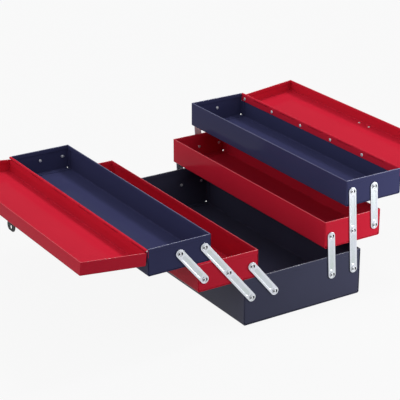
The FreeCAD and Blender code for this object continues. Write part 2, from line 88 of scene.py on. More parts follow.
# At its very ends the grip is drawn in by up to this share
GRIP_ROUND_END, GRIP_END_SHARE, GRIP_CREASE = 2.5, 0.35, 50
BRACKET_SHEET, BRACKET_WIDTH, BRACKET_FOOT, BRACKET_HEAD = 1.5, 14.0, 11.0, 5.5
BRACKET_BEND, BRACKET_GAP = 1.5, 0.15
BRACKET_RIVET_SPREAD, BRACKET_RIVET_INSET, BRACKET_RIVET_HEAD = 7.6, 3.5, (1.9, 1.0)
HANDLE_PIN, HANDLE_PIN_REACH, HANDLE_PIN_CHAMFER, HANDLE_PIN_BEVEL = 2.0, 1.2, 0.3, 0.1
HANDLE_PIN_HEAD, HANDLE_PIN_HEAD_EDGE, HANDLE_PIN_HEAD_HEIGHT = 2.6, 0.5, 0.8

# Links and their rivets
LINK_WIDTH, LINK_SHEET, SIDE_GAP = 13.0, 1.6, 0.15
LINK_BEVEL, LINK_CREASE, LINK_WELD = 0.3, 20, 0.001
CHANNEL_WIDTH, CHANNEL_DEPTH, CHANNEL_MARGIN, CHANNEL_SLOPE = 7.8, 0.5, 7.2, 0.9
PIVOT_RADIUS, PIVOT_BEVEL = 2.5, 0.08
INNER_END_RADIUS, INNER_END_HEIGHT, INNER_END_EDGE_SHARE = 1.5, 1.4, 0.6
# Radius and height of the rivet's head, from its seat out to its rim and in over the groove to the boss
PUNCHED_HEAD = [(4.4, 0), (4.4, 0.6), (4.2, 0.95), (3.95, 1.1), (3.7, 1.0), (3.4, 0.2), (1.6, 0.2),
                (1.3, 1.05), (1.0, 1.3), (0.5, 1.4), (0, 1.42)]
# The groove's inner and outer radius, and how far the painted dark reflection reaches in it above and below
# level
GROOVE, DARK_REFLECTION_ANGLE = (1.2, 3.75), 42

# The hinge pin's place against the tray and lid, worked out as the parts are
AXIS_OUT = KNUCKLE_RADIUS - LEAF_SHEET - TRAY_SHEET
RIM_RISE = KNUCKLE_RADIUS + HINGE_GAP
AXIS_DEPTH = RIM_RISE - LID_GAP
LID_TOP = RIM_RISE + LID_DEPTH
BOX_LENGTH = (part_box("base_trough")[1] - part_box("base_trough")[0]).y / MM
END_FACE = BOX_LENGTH / 2
PIVOTS = {joint["name"]: Vector(joint["pos_m"]) / MM for joint in frame["joints"]}
SIDES = (("left", -1), ("right", 1))


# Places


def at(x, z, out=1, tilt=0.0):
    """A side's own frame: out is 1 to the right and -1 to the left, and tilt leans it about Y, in degrees."""
    turn = Matrix.Rotation(0 if out > 0 else math.pi, 4, "Z")
    return Matrix.Translation((x, 0, z)) @ turn @ Matrix.Rotation(math.radians(tilt), 4, "Y")


def node_place(node, out=1):
    """The middle of a node's foot, with its width and height."""
    low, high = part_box(node)
    middle = (low + high) / 2 / MM
    size = (high - low) / MM
    return at(middle.x, low.z / MM, out), size.x, size.z


# Folded sheet


def bent_path(corners, steps=6):
    """Points with their normals along a line; a corner with a third value is rounded to that radius."""
    path = []
    last = len(corners) - 1
    for i, corner in enumerate(corners):
        point = Vector(corner[:2])
        before = (point - Vector(corners[i - 1][:2])).normalized() if i else None
        after = (Vector(corners[i + 1][:2]) - point).normalized() if i < last else None
        way = before or after
        side = Vector((-way.y, way.x))
        if not (before and after and len(corner) > 2):
            path.append((point, side))
            continue
        turn = before.angle_signed(after) * -1
        radius = math.copysign(corner[2], turn)
        centre = point - before * abs(radius * math.tan(turn / 2)) + side * radius
        for step in range(steps + 1):
            normal = Matrix.Rotation(turn * step / steps, 2) @ side
            path.append((centre - normal * radius, normal))
    return path


def along_y(path, y):
    """The path drawn in X and Z, set at one place along the box."""
    return [(Vector((p.x, y, p.y)), Vector((n.x, 0, n.y))) for p, n in path]


def along_x(path, x):
    return [(Vector((x, p.x, p.y)), Vector((0, n.x, n.y))) for p, n in path]


def along_z(path, z):
    return [(Vector((p.x, p.y, z)), Vector((n.x, n.y, 0))) for p, n in path]


def round_corner(path, x, y, out_x, out_y):
    """A wall's section, drawn outwards and up, set at a corner where walls meet in a mitre."""
    return [(Vector((x + out_x * p.x, y + out_y * p.x, p.y)), Vector((out_x * n.x, out_y * n.x, n.y)))
            for p, n in path]


def strip(*rows):
    """The cells between rows of points."""
    cells = []
    for row, following in zip(rows, rows[1:]):
        for i in range(len(row) - 1):
            cells.append((row[i], row[i + 1], following[i + 1], following[i]))
    return cells


def finish_mesh(name, bm, place, material, bevel=EDGE_BEVEL, crease=EDGE_CREASE):
    """Makes an object of a mesh drawn in millimetres, smooth but for its creases, which get a fine bevel."""
    bmesh.ops.recalc_face_normals(bm, faces=bm.faces)
    for face in bm.faces:
        face.smooth = True
    bm.transform(Matrix.Scale(MM, 4) @ place)
    mesh = bpy.data.meshes.new(name)
    bm.to_mesh(mesh)
    bm.free()
    mesh.set_sharp_from_angle(angle=math.radians(crease))
    mesh.materials.append(material)
    piece = bpy.data.objects.new(name, mesh)
    bpy.context.scene.collection.objects.link(piece)
    if bevel:
        soften = piece.modifiers.new("edges", "BEVEL")
        soften.width = bevel * MM
        soften.segments = 2
        soften.limit_method = "ANGLE"
        soften.angle_limit = math.radians(crease)
        soften.harden_normals = True
    return piece


def folded_sheet(name, cells, thickness, place, material, rim_highlight=None, rim_highlight_material=None):
    """A sheet of even thickness about a middle surface of cells; faces that the height test picks out at the
    rims get a painted highlight material.
    """
    bm = bmesh.new()
    index, pairs, edges = {}, [], set()
    for cell in cells:
        corners = []
        for point, normal in cell:
            key = tuple(round(value, 3) for value in (*point, *normal))
            if key not in index:
                index[key] = len(pairs)
                lift = normal * (thickness / 2)
                pairs.append((bm.verts.new(point + lift), bm.verts.new(point - lift)))
            corners.append(index[key])
        if len(set(corners)) < 3:
            continue
        for layer in (0, 1):
            bm.faces.new([pairs[i][layer] for i in dict.fromkeys(corners)])
        edges.update(zip(corners, corners[1:] + corners[:1]))
    for a, b in edges:
        if (b, a) not in edges and a != b:
            bm.faces.new((pairs[a][0], pairs[b][0], pairs[b][1], pairs[a][1]))
    # Faces near a rim take the second material, the painted highlight
    for face in bm.faces:
        face.material_index = int(bool(rim_highlight) and rim_highlight(face.calc_center_median().z))
    sheet = finish_mesh(name, bm, place, material)
    if rim_highlight:
        sheet.data.materials.append(rim_highlight_material)
    return sheet


def turned(name, profile, places, material, segments=28, bevel=0):
    """Round pieces turned from one profile of radius and height, whose axis is each place's Z."""
    bm = bmesh.new()
    for spot in places:
        rings = []
        for radius, height in profile:
            if radius == 0:
                rings.append([bm.verts.new(spot @ Vector((0, 0, height)))] * segments)
                continue
            angles = [2 * math.pi * step / segments for step in range(segments)]
            rings.append([bm.verts.new(spot @ Vector((radius * math.cos(a), radius * math.sin(a), height)))
                          for a in angles])
        for ring, following in zip(rings, rings[1:]):
            for i in range(segments):
                j = (i + 1) % segments
                corners = dict.fromkeys((ring[i], ring[j], following[j], following[i]))
                bm.faces.new(list(corners))
    return finish_mesh(name, bm, Matrix.Identity(4), material, bevel)


def hold(piece, body, slot, *nodes):
    """Rides a piece on its body and hides what it stands for; the slot is not used."""
    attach(piece, body)
    if nodes:
        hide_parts(*nodes)
    return piece


# Materials


def linear(hex_colour):
    """A hex sRGB colour as linear red, green, blue and alpha."""
    values = [int(hex_colour[i:i + 2], 16) / 255 for i in (1, 3, 5)]
    return [v / 12.92 if v <= 0.04045 else ((v + 0.055) / 1.055) ** 2.4 for v in values] + [1.0]


def add_node(tree, kind, settings=None, links=None, **values):
    """Adds a node: settings are its properties, values its sockets' values, and links what feeds them."""
    node = tree.nodes.new(kind)
    for prop, value in (settings or {}).items():
        setattr(node, prop, value)
    for socket, value in values.items():
        node.inputs[socket.replace("_", " ")].default_value = value
    for socket, source in (links or {}).items():
        tree.links.new(source, node.inputs[socket])
    return node


def new_material(name):
    material = bpy.data.materials.new(name)
    material.use_nodes = True
    tree = material.node_tree
    tree.nodes.clear()
    return material, tree


def shader_to_output(tree, shader):
    output = add_node(tree, "ShaderNodeOutputMaterial")
    tree.links.new(shader.outputs[0], output.inputs["Surface"])


def per_metre(millimetres):
    """A texture's scale for features of a real size."""
    return 1 / (millimetres * MM)


# Under stoving enamel's usual 1.5, because the photographed walls mirror little at a slant
ENAMEL_IOR = 1.28


def baked_enamel(name, colour, thin_colour, roughness, shine, peel=0.02):
    """Stoving enamel on folded steel: glossy, with faint orange peel, a little paler where it pulls thin."""
    material, tree = new_material(name)
    spot = add_node(tree, "ShaderNodeTexCoord").outputs["Object"]
    # The coat is thinner in clouds about a palm wide
    cloud = add_node(tree, "ShaderNodeTexNoise", links={"Vector": spot}, Scale=per_metre(90), Detail=3)
    tone = add_node(tree, "ShaderNodeMix", {"data_type": "RGBA"}, {"Factor": cloud.outputs["Fac"]},
                    A=linear(colour), B=linear(thin_colour))
    # Orange peel is about 2.2 mm from crest to crest
    peel_noise = add_node(tree, "ShaderNodeTexNoise", links={"Vector": spot}, Scale=per_metre(2.2), Detail=1)
    bump = add_node(tree, "ShaderNodeBump", links={"Height": peel_noise.outputs["Fac"]}, Strength=peel,
                    Distance=0.3 * MM)
    # Handling leaves the gloss uneven in patches about 35 mm across
    smear = add_node(tree, "ShaderNodeTexNoise", links={"Vector": spot}, Scale=per_metre(35), Detail=4)
    gloss = add_node(tree, "ShaderNodeMapRange", links={"Value": smear.outputs["Fac"]},
                     To_Min=roughness * 0.8, To_Max=roughness * 1.25)
    shader = add_node(tree, "ShaderNodeBsdfPrincipled",
                      links={"Base Color": tone.outputs["Result"], "Normal": bump.outputs["Normal"],
                             "Roughness": gloss.outputs["Result"]},
                      IOR=ENAMEL_IOR, Specular_IOR_Level=shine)
    shader_to_output(tree, shader)
    return material


def zinc_plate(name, colour, passivate, roughness, metallic=1.0):
    """Bright zinc on steel: a soft white shine with a faint cool cast from the passivating bath."""
    material, tree = new_material(name)
    spot = add_node(tree, "ShaderNodeTexCoord").outputs["Object"]
    # The bath drains off in drops, so the cast drifts over about 14 mm
    cast = add_node(tree, "ShaderNodeTexNoise", links={"Vector": spot}, Scale=per_metre(14), Detail=2)
    amount = add_node(tree, "ShaderNodeMapRange", links={"Value": cast.outputs["Fac"]},
                      From_Min=0.35, From_Max=0.7)
    tone = add_node(tree, "ShaderNodeMix", {"data_type": "RGBA"}, {"Factor": amount.outputs["Result"]},
                    A=linear(colour), B=linear(passivate))
    # Rolling and tumbling marks under the plate, drawn 0.8 mm apart so that they show
    grain = add_node(tree, "ShaderNodeTexNoise", links={"Vector": spot}, Scale=per_metre(0.8), Detail=2)
    bump = add_node(tree, "ShaderNodeBump", links={"Height": grain.outputs["Fac"]}, Strength=0.06,
                    Distance=0.1 * MM)
    gloss = add_node(tree, "ShaderNodeMapRange", links={"Value": grain.outputs["Fac"]},
                     To_Min=roughness * 0.75, To_Max=roughness * 1.3)
    shader = add_node(tree, "ShaderNodeBsdfPrincipled",
                      links={"Base Color": tone.outputs["Result"], "Normal": bump.outputs["Normal"],
                             "Roughness": gloss.outputs["Result"]}, Metallic=metallic)
    shader_to_output(tree, shader)
    return material


def moulded_plastic(name, colour, roughness):
    """Black moulded polypropylene: a satin skin with the mould's fine spark grain."""
    material, tree = new_material(name)
    spot = add_node(tree, "ShaderNodeTexCoord").outputs["Object"]
    # Spark grain is finer than this, and is drawn 0.5 mm coarse so that it shows
    grain = add_node(tree, "ShaderNodeTexNoise", links={"Vector": spot}, Scale=per_metre(0.5), Detail=2)
    bump = add_node(tree, "ShaderNodeBump", links={"Height": grain.outputs["Fac"]}, Strength=0.25,
                    Distance=0.05 * MM)
    gloss = add_node(tree, "ShaderNodeMapRange", links={"Value": grain.outputs["Fac"]},
                     To_Min=roughness * 0.85, To_Max=roughness * 1.2)
    shader = add_node(tree, "ShaderNodeBsdfPrincipled",
                      links={"Normal": bump.outputs["Normal"], "Roughness": gloss.outputs["Result"]},
                      Base_Color=linear(colour), IOR=1.49)
    shader_to_output(tree, shader)
    return material


# The shine is under a clear lacquer's, as it is on pigmented stoving enamel
RED = baked_enamel("red_stoving_enamel", "#C42036", "#CB273B", roughness=0.13, shine=0.08)
NAVY = baked_enamel("navy_stoving_enamel", "#383A5C", "#3D3F62", roughness=0.12, shine=0.08)
BASE_NAVY = baked_enamel("base_navy_stoving_enamel", "#3E4054", "#43455C", roughness=0.14, shine=0.2)
BLACK = baked_enamel("black_stoving_enamel", "#141416", "#1B1B1E", roughness=0.2, shine=0.3)
# Painted highlight: every rim is coloured paler and shines more, so that it shows a pale highlight line
RED_RIM_HIGHLIGHT = baked_enamel("red_enamel_painted_rim_highlight", "#C83C4A", "#D04A56", roughness=0.22, shine=0.9)
NAVY_RIM_HIGHLIGHT = baked_enamel("navy_enamel_painted_rim_highlight", "#565878", "#606284", roughness=0.22, shine=0.9)
BASE_RIM_HIGHLIGHT = baked_enamel("base_enamel_painted_rim_highlight", "#565868", "#606272", roughness=0.22, shine=0.9)
# Plate on rolled strip shines softly; a channel's floor is coloured a little darker and greener, and is
# rougher
ZINC = zinc_plate("bright_zinc_plate", "#DCDFE9", "#D4DADE", roughness=0.32)
PRESSED_ZINC = zinc_plate("pressed_zinc_plate", "#CBD0D8", "#C2CCCA", roughness=0.4)
# Rivets knock together in the plating barrel and come out whiter, with a dull bloom that is only half metal
RIVET_ZINC = zinc_plate("tumbled_zinc_rivet", "#E4E6EC", "#DADFE2", roughness=0.45, metallic=0.5)
# A bare drawn pin has the same fine marks, and a darker and sharper shine
STEEL = zinc_plate("drawn_steel_pin", "#B4B5BA", "#A9ABB0", roughness=0.25)
# Painted dark reflection: a near-black matt colour in the groove at each rivet head's left and right, where
# the dome would mirror dark surroundings
DARK_REFLECTION_PAINT = moulded_plastic("painted_dark_reflection_in_groove", "#14171A", roughness=0.7)
GRIP_PLASTIC = moulded_plastic("black_polypropylene", "#131314", roughness=0.5)


# Base and trays


def trough(name, node, body, thickness, material, slot, out=1, rim=None, rim_highlight_material=None):
    """Floor and long walls in one sheet; each rim is folded in to a hem, but a wall cut to a rim has none."""
    place, width, height = node_place(node, out)
    wall = width / 2 - thickness / 2
    hem = wall - HEM_PITCH_SHARE * thickness
    fold = HEM_PITCH_SHARE * thickness / 2
    bend = BEND_RADIUS + thickness / 2
    top = height - thickness / 2
    foot = height - HEM_HEIGHT
    left = [(-hem, foot), (-hem, top, fold), (-wall, top, fold), (-wall, thickness / 2, bend)]
    right = [(wall, thickness / 2, bend), (wall, top, fold), (hem, top, fold), (hem, foot)]
    if rim:
        right = [(wall, thickness / 2, bend), (wall, rim)]
    path = bent_path(left + right)
    cells = strip(along_y(path, -END_FACE), along_y(path, END_FACE))
    # The top of each rim gets the painted highlight
    tub = folded_sheet(name, cells, thickness, place, material,
                       lambda z: z > height - RIM_HIGHLIGHT_DEPTH, rim_highlight_material)
    return hold(tub, body, slot, node)


def end_walls(name, node, body, thickness, material, slot, width, out=1, leaf_foot=None,
              rim_highlight_material=None):
    """Both end walls, each a blank folded in at the foot and both sides, hemmed, with open corners."""
    place, _, height = node_place(node, out)
    # The walls stand on the trough's floor, and heights here start at its underside
    height = height + thickness
    place = place @ Matrix.Translation((0, 0, -thickness))
    bend = END_BEND_RADIUS + thickness / 2
    face = END_FACE - thickness / 2
    flange = END_FACE - FLANGE_DEPTH
    # The flanges line the trough, so their middle lies one sheet and a half inside its outer face
    lining = 1.5 * thickness
    edge = width / 2 - lining
    flat, open_corner = edge - bend, width / 2 - thickness - RELIEF_SIZE
    tab = width / 2 - 2 * thickness
    relief, hem_foot = thickness + RELIEF_SIZE, height - HEM_HEIGHT
    levels = [relief, leaf_foot, hem_foot] if leaf_foot else [relief, hem_foot]
    fold = HEM_PITCH_SHARE * thickness / 2
    top = height - thickness / 2
    cells = []
    floor_path = bent_path([(flange, lining), (face, lining, bend), (face, relief)])
    cells += strip(along_x(floor_path, -open_corner), along_x(floor_path, open_corner))
    hem_path = bent_path([(face, hem_foot), (face, top, fold), (face - 2 * fold, top, fold),
                          (face - 2 * fold, hem_foot)])
    columns = [-tab, -flat, -open_corner, open_corner, flat, tab]
    cells += strip(*[along_x(hem_path, x) for x in columns])
    panel = [(Vector((x, face)), Vector((0, 1))) for x in columns[1:-1]]
    cells += strip(*[along_z(panel, z) for z in levels])
    # Beside the hinge leaf the wall has no flange: it stays flat and stops at the leaf
    flat_path = [(Vector((x, face)), Vector((0, 1))) for x in (flat, tab)]
    for side in (-1, 1):
        wall_path = bent_path([(side * edge, flange), (side * edge, face, bend), (side * flat, face)])
        wall_path = [(p, Vector((n.x, n.y)) * -side) for p, n in wall_path]
        for low, high in zip(levels, levels[1:]):
            notched = leaf_foot and side > 0 and low >= leaf_foot
            edge_path = flat_path if notched else wall_path
            cells += strip(along_z(edge_path, low), along_z(edge_path, high))
    mirror = Matrix.Scale(-1, 4, (0, 1, 0))
    cells += [[(mirror @ p, mirror @ n) for p, n in cell] for cell in cells]
    # The top of each wall's hem gets the painted highlight
    walls = folded_sheet(name, cells, thickness, place, material,
                         lambda z: z > height - RIM_HIGHLIGHT_DEPTH, rim_highlight_material)
    return hold(walls, body, slot, node)


# Rivets


def dome(radius, height, edge_share=0.3, steps=6):
    """A low domed head on a short upright edge, as radius and height from its seat."""
    edge = height * edge_share
    profile = [(radius, 0), (radius, edge)]
    for step in range(1, steps + 1):
        angle = math.pi / 2 * step / steps
        profile.append((radius * math.cos(angle) if step < steps else 0,
                        edge + (height - edge) * math.sin(angle)))
    return profile


def pivot_rivets(name, node, body, spots, thickness):
    """The rivets that links turn on: the head is set with a ring punch, so a groove runs round a low boss."""
    inner = END_FACE - thickness
    seat = END_FACE + 2 * SIDE_GAP + LINK_SHEET
    profile = [(0, inner - INNER_END_HEIGHT), (INNER_END_RADIUS, inner - INNER_END_HEIGHT),
               (PIVOT_RADIUS, inner - INNER_END_HEIGHT * INNER_END_EDGE_SHARE), (PIVOT_RADIUS, seat)]
    profile += [(radius, seat + height) for radius, height in PUNCHED_HEAD]
    places = []
    for x, z in spots:
        for turn in (90, -90):
            places.append(Matrix.Translation((x, 0, z)) @ Matrix.Rotation(math.radians(turn), 4, "X"))
    rivets = turned(name, profile, places, RIVET_ZINC, bevel=PIVOT_BEVEL)
    # Painted dark reflection: groove faces to the left and right of the boss take the near-black material
    rivets.data.materials.append(DARK_REFLECTION_PAINT)
    for face in rivets.data.polygons:
        centre = Vector((face.center.x, face.center.z)) / MM
        away = min((centre - Vector(spot) for spot in spots), key=lambda v: v.length)
        aside = abs(away.y) < abs(away.x) * math.tan(math.radians(DARK_REFLECTION_ANGLE))
        outside = abs(face.center.y) / MM > seat
        if outside and aside and GROOVE[0] < away.length < GROOVE[1]:
            face.material_index = 1
    return hold(rivets, body, "zinc_plate", node)


# Links


def round_loop(half_length, radius, centre=0.0, steps=12):
    """A round-ended outline about a centre on its long axis, anticlockwise."""
    points = []
    for sign in (1, -1):
        for step in range(steps + 1):
            angle = math.pi * step / steps + (0 if sign > 0 else math.pi)
            points.append(Vector((radius * math.cos(angle),
                                  centre + sign * half_length + radius * math.sin(angle))))
    return points


def full_circle(radius, centre, steps=24):
    """A round outline whose centre is that far along the long axis."""
    return [Vector((radius * math.cos(a), centre + radius * math.sin(a)))
            for a in (2 * math.pi * step / steps for step in range(steps))]


def ring_of(bm, points, height, place):
    return [bm.verts.new(place @ Vector((p.x, p.y, height))) for p in points]


def wall_between(bm, ring, following):
    for i in range(len(ring)):
        j = (i + 1) % len(ring)
        bm.faces.new((ring[i], ring[j], following[j], following[i]))


def fill_between(bm, rings):
    """One flat face inside the first ring and outside the others."""
    edges = []
    for ring in rings:
        for i in range(len(ring)):
            pair = (ring[i], ring[(i + 1) % len(ring)])
            edges.append(bm.edges.get(pair) or bm.edges.new(pair))
    bmesh.ops.triangle_fill(bm, use_beauty=True, edges=edges)


def link_pair(name, node, body, start, end, gaps):
    """Two round-ended strips, one at each end of the box, with a shallow channel in each gap of pivots."""
    reach = (end - start).length
    lean = math.atan2(end.x - start.x, end.z - start.z)
    bm = bmesh.new()
    for near in (True, False):
        face = END_FACE + SIDE_GAP
        stand = Matrix.Rotation(math.radians(90 if near else -90), 4, "X")
        flip = Matrix.Identity(4) if near else Matrix.Scale(-1, 4, (0, 1, 0))
        place = Matrix.Translation(start) @ Matrix.Rotation(lean, 4, "Y") @ stand @ flip
        outer = round_loop(reach / 2, LINK_WIDTH / 2, reach / 2)
        back, front = ring_of(bm, outer, face, place), ring_of(bm, outer, face + LINK_SHEET, place)
        wall_between(bm, back, front)
        holes = [full_circle(PIVOT_RADIUS + SIDE_GAP, reach * i / gaps, steps=16) for i in range(gaps + 1)]
        backs = [ring_of(bm, hole, face, place) for hole in holes]
        fronts = [ring_of(bm, hole, face + LINK_SHEET, place) for hole in holes]
        for low, high in zip(backs, fronts):
            wall_between(bm, low, high)
        channels = []
        for i in range(gaps):
            half = reach / gaps / 2 - CHANNEL_MARGIN - CHANNEL_WIDTH / 2
            centre = reach * (i + 0.5) / gaps
            lip = ring_of(bm, round_loop(half, CHANNEL_WIDTH / 2, centre), face + LINK_SHEET, place)
            foot = ring_of(bm, round_loop(half, CHANNEL_WIDTH / 2 - CHANNEL_SLOPE, centre),
                           face + LINK_SHEET - CHANNEL_DEPTH, place)
            wall_between(bm, lip, foot)
            bm.faces.new(foot).material_index = 1
            channels.append(lip)
        fill_between(bm, [back] + backs)
        fill_between(bm, [front] + fronts + channels)
    bmesh.ops.remove_doubles(bm, verts=bm.verts, dist=LINK_WELD)
    links = finish_mesh(name, bm, Matrix.Identity(4), ZINC, bevel=LINK_BEVEL, crease=LINK_CREASE)
    links.data.materials.append(PRESSED_ZINC)
    return hold(links, body, "zinc_plate", node)


# Hinge, lid, ear and handle


def hinge_leaf(name, node, body, place, up, length, first):
    """A leaf and every second knuckle from the first; up is -1 for the tray's and 1 for the lid's."""
    middle = KNUCKLE_RADIUS - LEAF_SHEET / 2
    pitch = BOX_LENGTH / KNUCKLES
    plain = [(Vector((-middle, up * z)), Vector((1, 0))) for z in (LEAF_HEIGHT, LEAF_EDGE)]
    cells = strip(along_y(plain, -length / 2), along_y(plain, length / 2))
    roll = [(Vector((-middle, up * LEAF_EDGE)), Vector((1, 0)))]
    sweep, steps = math.radians(KNUCKLE_TURN), 20
    for step in range(steps + 1):
        angle = math.pi + up * sweep * step / steps
        way = Vector((math.cos(angle), math.sin(angle)))
        roll.append((way * middle, -way))
    for i in range(first, KNUCKLES, 2):
        low, high = -END_FACE + i * pitch + KNUCKLE_GAP, -END_FACE + (i + 1) * pitch - KNUCKLE_GAP
        cells += strip(along_y(roll, low), along_y(roll, high))
    return hold(folded_sheet(name, cells, LEAF_SHEET, place, RED), body, "red_enamel", node)


def lid_pan(name, node, body, place, width):
    """A shallow pan drawn shut over the tray, rim down, with mitred corners and a hem on its free sides."""
    half = LID_SHEET / 2
    bend = LID_EDGE_RADIUS - half
    free, hinge = -AXIS_OUT - width, -AXIS_OUT
    rim, top = RIM_RISE + half, LID_TOP - half
    flat = -(LID_EDGE_RADIUS + LID_FLAT_START)
    wall = bent_path([(-half, rim), (-half, top, bend), (flat, top)])
    corners = [(hinge, -END_FACE, 1, -1), (hinge, END_FACE, 1, 1), (free, END_FACE, -1, 1),
               (free, -END_FACE, -1, -1)]
    rows = [round_corner(wall, *corner) for corner in corners]
    cells = strip(*rows, rows[0])
    cells.append([row[-1] for row in rows])
    pitch = HEM_PITCH_SHARE * LID_SHEET
    hem = bent_path([(-half - pitch, rim + LID_HEM_HEIGHT), (-half - pitch, rim, pitch / 2),
                     (-half, rim, pitch / 2), (-half, rim + half)])
    inside = hinge - LID_SHEET - LEAF_SHEET - HINGE_GAP
    around = [(inside, -END_FACE, 0, -1), (free, -END_FACE, -1, -1), (free, END_FACE, -1, 1),
              (inside, END_FACE, 0, 1)]
    cells += strip(*[round_corner(hem, *corner) for corner in around])
    # The lid's rim, lowest here, gets the painted highlight
    pan = folded_sheet(name, cells, LID_SHEET, place, RED, lambda z: z < RIM_RISE + RIM_HIGHLIGHT_DEPTH, RED_RIM_HIGHLIGHT)
    return hold(pan, body, "red_enamel", node)


def punched_plate(outline, holes, thickness):
    """A flat plate in XY with holes through it."""
    bm = bmesh.new()
    lows = [ring_of(bm, loop, 0, Matrix.Identity(4)) for loop in [outline] + holes]
    highs = [ring_of(bm, loop, thickness, Matrix.Identity(4)) for loop in [outline] + holes]
    for low, high in zip(lows, highs):
        wall_between(bm, low, high)
    fill_between(bm, lows)
    fill_between(bm, highs)
    return bm


def rounded_loop(corners, steps=8):
    """A closed outline; a corner with a third value is rounded."""
    count = len(corners)
    points = []
    for i in range(count):
        near = bent_path([corners[i - 1][:2], corners[i], corners[(i + 1) % count][:2]], steps)
        points += [p for p, _ in near[1:-1]]
    return points


def folded_ear(name, place, face):
    """The ear's flat blank, a wide foot and a round-cornered tab with its hole, folded to a right angle."""
    radius = EAR_BEND + EAR_SHEET / 2
    foot = EAR_FOOT_DEPTH - EAR_SHEET - EAR_BEND
    bend = foot + radius * math.pi / 2
    top, hole_height = (bend + rise - EAR_SHEET - EAR_BEND for rise in (EAR_RISE, PADLOCK_RISE))
    half, tab = EAR_WIDTH / 2, EAR_TAB_WIDTH / 2
    blank = rounded_loop([
        (-half, 0, EAR_FOOT_CORNER), (half, 0, EAR_FOOT_CORNER), (half, foot, EAR_SMALL_CORNER), (tab, foot),
        (tab, top, EAR_CORNER), (-tab, top, EAR_CORNER), (-tab, foot), (-half, foot, EAR_SMALL_CORNER)])
    bm = punched_plate(blank, [full_circle(PADLOCK_HOLE, hole_height)], EAR_SHEET)
    steps = 5
    for step in range(steps + 1):
        line = Vector((0, foot + (bend - foot) * step / steps, 0))
        bmesh.ops.bisect_plane(bm, geom=bm.verts[:] + bm.edges[:] + bm.faces[:], plane_co=line,
                               plane_no=(0, 1, 0))
    centre_x, centre_z = -face + EAR_SHEET + EAR_BEND, LID_TOP + EAR_SHEET + EAR_BEND
    for vert in bm.verts:
        across, run, lift = vert.co
        turn = min(max((run - foot) / radius, 0), math.pi / 2)
        reach = EAR_BEND + EAR_SHEET - lift
        x = centre_x - reach * math.sin(turn) + max(foot - run, 0)
        z = centre_z - reach * math.cos(turn) + max(run - bend, 0)
        vert.co = (x, across, z)
    return finish_mesh(name, bm, place, BLACK)


def padlock_ear(side, body, place, free):
    """An angle on the lid's top: two rivets hold its foot, and its tab has an eyelet for the padlock."""
    face = free - EAR_SETBACK
    ear = folded_ear(f"padlock_ear_angle_{side}", place, face)
    hold(ear, body, "black_enamel", f"padlock_ear_{side}")
    rim = [(PADLOCK_HOLE + reach, height) for reach, height in EYELET_RIM]
    outward = Matrix.Rotation(-math.pi / 2, 4, "Y")
    seat = place @ Matrix.Translation((-face, 0, LID_TOP + PADLOCK_RISE)) @ outward
    hold(turned(f"padlock_eyelet_{side}", rim, [seat], BLACK), body, "black_enamel")
    spots = [(EAR_RIVET_INSET - free, sign * EAR_RIVET_SPREAD / 2) for sign in (-1, 1)]
    heads = [place @ Matrix.Translation((x, y, LID_TOP - LID_SHEET)) @ Matrix.Rotation(math.pi, 4, "X")
             for x, y in spots]
    hold(turned(f"ear_rivet_heads_{side}", dome(*EAR_RIVET_HEAD), heads, RIVET_ZINC), body, "zinc_plate")
    tails = [place @ Matrix.Translation((x, y, LID_TOP + EAR_SHEET)) for x, y in spots]
    hold(turned(f"ear_rivet_tails_{side}", dome(*EAR_RIVET_TAIL), tails, ZINC), body, "zinc_plate")


